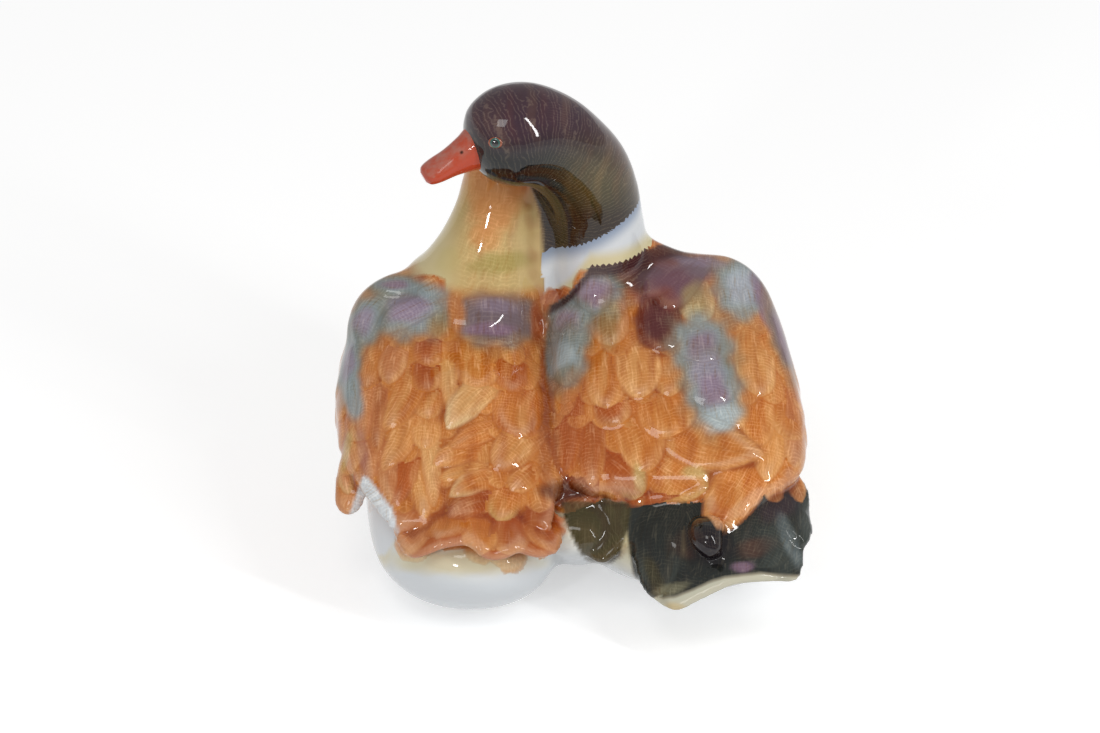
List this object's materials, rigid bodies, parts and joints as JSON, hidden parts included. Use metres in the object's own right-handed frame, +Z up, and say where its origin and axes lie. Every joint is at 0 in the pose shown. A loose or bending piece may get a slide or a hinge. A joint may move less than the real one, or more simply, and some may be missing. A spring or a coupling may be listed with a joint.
{
  "type": "duck pair figurine",
  "caption": "Glazed porcelain figurine of a drake and a hen duck nestled together, his head laid over her nape.",
  "frame": {"origin": "centre of the plan box, in the plane of the flat foot", "axes": "+Z up; both ducks face +Y, with the hen on the -X side and the drake on the +X side"},
  "size_m": [0.2098, 0.2096, 0.2137],
  "materials": {
    "painted_glaze": "hand-painted porcelain under a clear, high-gloss glaze; orange-brown backs, dark drake's head"
  },
  "bodies": {
    "root": {"duck_pair": "painted_glaze"}
  },
  "joints": []
}
